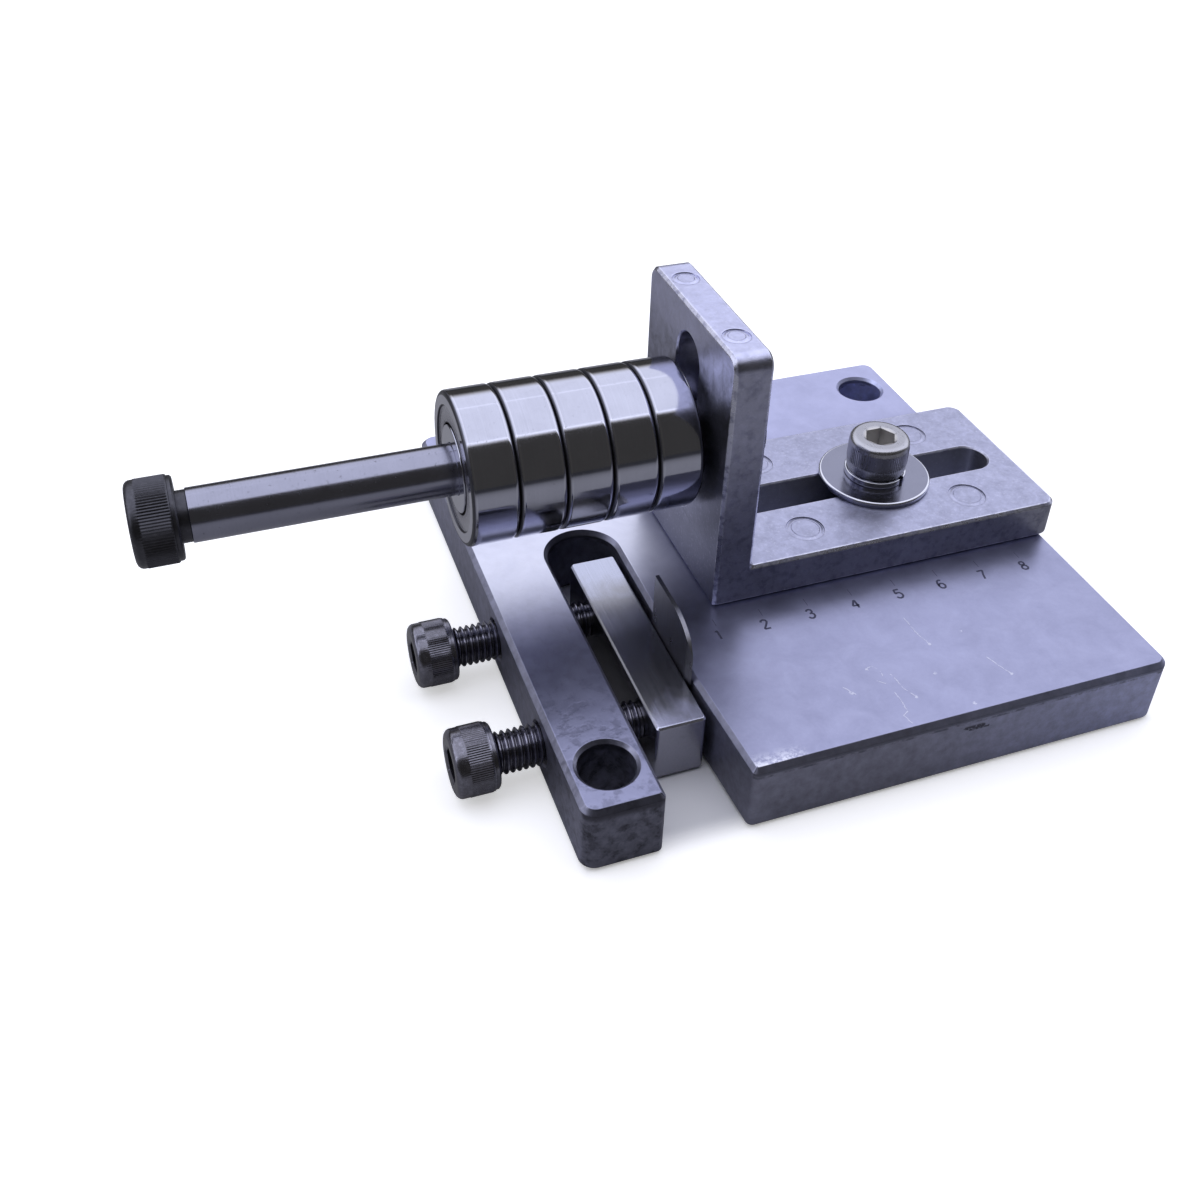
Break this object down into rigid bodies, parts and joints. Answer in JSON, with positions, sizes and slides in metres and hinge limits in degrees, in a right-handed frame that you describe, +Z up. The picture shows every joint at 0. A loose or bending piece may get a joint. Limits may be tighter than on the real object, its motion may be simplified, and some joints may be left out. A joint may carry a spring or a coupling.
{
  "type": "leather strip cutter",
  "caption": "Bench tool with a slotted base plate, an upright blade, a sliding fence bracket and a stack of ball bearings on an axle screw, for slitting leather strips.",
  "frame": {"origin": "centre of the underside of the base plate", "axes": "+X along the axle from its head to its nut, +Y from the open end of the slot to the back, +Z up"},
  "size_m": [0.1845, 0.12, 0.0715],
  "materials": {
    "plate": "satin, cast and machined",
    "bracket": "satin, cast",
    "ground_steel": "ground",
    "blade_steel": "dark, honed edge",
    "dark_screw": "blackened, worn",
    "bright_steel": "bright",
    "axle_steel": "blackened head, plain shank",
    "bearing_steel": "polished",
    "shield_steel": "satin",
    "ball_steel": "polished",
    "cage_brass": "plain"
  },
  "bodies": {
    "base": {"base_plate": "plate", "lock_flat_washer": "bright_steel"},
    "fence": {"fence_bracket": "bracket"},
    "carriage": {"axle_nut": "bright_steel", "axle_washer": "bright_steel", "axle_spacer": "bright_steel"},
    "axle": {"axle_screw": "axle_steel"},
    "roller_stack": {"bearing_1_inner_ring": "bearing_steel", "bearing_2_inner_ring": "bearing_steel", "bearing_3_inner_ring": "bearing_steel", "bearing_4_inner_ring": "bearing_steel", "bearing_5_inner_ring": "bearing_steel"},
    "roller_1": {"bearing_1_outer_ring": "bearing_steel", "bearing_1_shields": "shield_steel"},
    "cage_1": {"bearing_1_balls": "ball_steel", "bearing_1_cage": "cage_brass"},
    "roller_2": {"bearing_2_outer_ring": "bearing_steel", "bearing_2_shields": "shield_steel"},
    "cage_2": {"bearing_2_balls": "ball_steel", "bearing_2_cage": "cage_brass"},
    "roller_3": {"bearing_3_outer_ring": "bearing_steel", "bearing_3_shields": "shield_steel"},
    "cage_3": {"bearing_3_balls": "ball_steel", "bearing_3_cage": "cage_brass"},
    "roller_4": {"bearing_4_outer_ring": "bearing_steel", "bearing_4_shields": "shield_steel"},
    "cage_4": {"bearing_4_balls": "ball_steel", "bearing_4_cage": "cage_brass"},
    "roller_5": {"bearing_5_outer_ring": "bearing_steel", "bearing_5_shields": "shield_steel"},
    "cage_5": {"bearing_5_balls": "ball_steel", "bearing_5_cage": "cage_brass"},
    "lock": {"lock_screw": "bright_steel", "lock_spring_washer": "bright_steel"},
    "clamp_front": {"clamp_screw_front": "dark_screw"},
    "clamp_rear": {"clamp_screw_rear": "dark_screw"},
    "block": {"clamp_block": "ground_steel"},
    "blade": {"blade": "blade_steel"}
  },
  "joints": [
    {"name": "fence_slide", "type": "slide", "parent": "base", "child": "fence", "axis": [1, 0, 0], "range_m": [-0.0108, 0.02]},
    {"name": "axle_height", "type": "slide", "parent": "fence", "child": "carriage", "axis": [0, 0, 1], "range_m": [-0.012, 0.016]},
    {"name": "axle_reach", "type": "slide", "parent": "carriage", "child": "axle", "axis": [1, 0, 0], "range_m": [0, 0.024]},
    {"name": "roller_stack_slide", "type": "slide", "parent": "carriage", "child": "roller_stack", "axis": [-1, 0, 0], "range_m": [0, 0.023]},
    {"name": "roller_1_spin", "type": "hinge", "parent": "roller_stack", "child": "roller_1", "pos_m": [-0.065, 0.0028, 0.0448], "axis": [1, 0, 0], "continuous": true},
    {"name": "cage_1_spin", "type": "hinge", "parent": "roller_stack", "child": "cage_1", "pos_m": [-0.065, 0.0028, 0.0448], "axis": [1, 0, 0], "continuous": true},
    {"name": "roller_2_spin", "type": "hinge", "parent": "roller_stack", "child": "roller_2", "pos_m": [-0.056, 0.0028, 0.0448], "axis": [1, 0, 0], "continuous": true},
    {"name": "cage_2_spin", "type": "hinge", "parent": "roller_stack", "child": "cage_2", "pos_m": [-0.056, 0.0028, 0.0448], "axis": [1, 0, 0], "continuous": true},
    {"name": "roller_3_spin", "type": "hinge", "parent": "roller_stack", "child": "roller_3", "pos_m": [-0.047, 0.0028, 0.0448], "axis": [1, 0, 0], "continuous": true},
    {"name": "cage_3_spin", "type": "hinge", "parent": "roller_stack", "child": "cage_3", "pos_m": [-0.047, 0.0028, 0.0448], "axis": [1, 0, 0], "continuous": true},
    {"name": "roller_4_spin", "type": "hinge", "parent": "roller_stack", "child": "roller_4", "pos_m": [-0.038, 0.0028, 0.0448], "axis": [1, 0, 0], "continuous": true},
    {"name": "cage_4_spin", "type": "hinge", "parent": "roller_stack", "child": "cage_4", "pos_m": [-0.038, 0.0028, 0.0448], "axis": [1, 0, 0], "continuous": true},
    {"name": "roller_5_spin", "type": "hinge", "parent": "roller_stack", "child": "roller_5", "pos_m": [-0.029, 0.0028, 0.0448], "axis": [1, 0, 0], "continuous": true},
    {"name": "cage_5_spin", "type": "hinge", "parent": "roller_stack", "child": "cage_5", "pos_m": [-0.029, 0.0028, 0.0448], "axis": [1, 0, 0], "continuous": true},
    {"name": "lock_lift", "type": "slide", "parent": "base", "child": "lock", "axis": [0, 0, 1], "range_m": [0, 0.0025]},
    {"name": "clamp_front_slide", "type": "slide", "parent": "base", "child": "clamp_front", "axis": [-1, 0, 0], "range_m": [0, 0.004]},
    {"name": "clamp_rear_slide", "type": "slide", "parent": "base", "child": "clamp_rear", "axis": [-1, 0, 0], "range_m": [0, 0.004]},
    {"name": "block_slide", "type": "slide", "parent": "base", "child": "block", "axis": [-1, 0, 0], "range_m": [0, 0.004]},
    {"name": "blade_height", "type": "slide", "parent": "base", "child": "blade", "axis": [0, 0, 1], "range_m": [-0.0005, 0.006]}
  ],
  "couplings": [
    {"joint": "clamp_rear_slide", "follows": "clamp_front_slide", "ratio": 1},
    {"joint": "block_slide", "follows": "clamp_front_slide", "ratio": 1},
    {"joint": "cage_1_spin", "follows": "roller_1_spin", "ratio": 0.615},
    {"joint": "cage_2_spin", "follows": "roller_2_spin", "ratio": 0.615},
    {"joint": "cage_3_spin", "follows": "roller_3_spin", "ratio": 0.615},
    {"joint": "cage_4_spin", "follows": "roller_4_spin", "ratio": 0.615},
    {"joint": "cage_5_spin", "follows": "roller_5_spin", "ratio": 0.615}
  ]
}
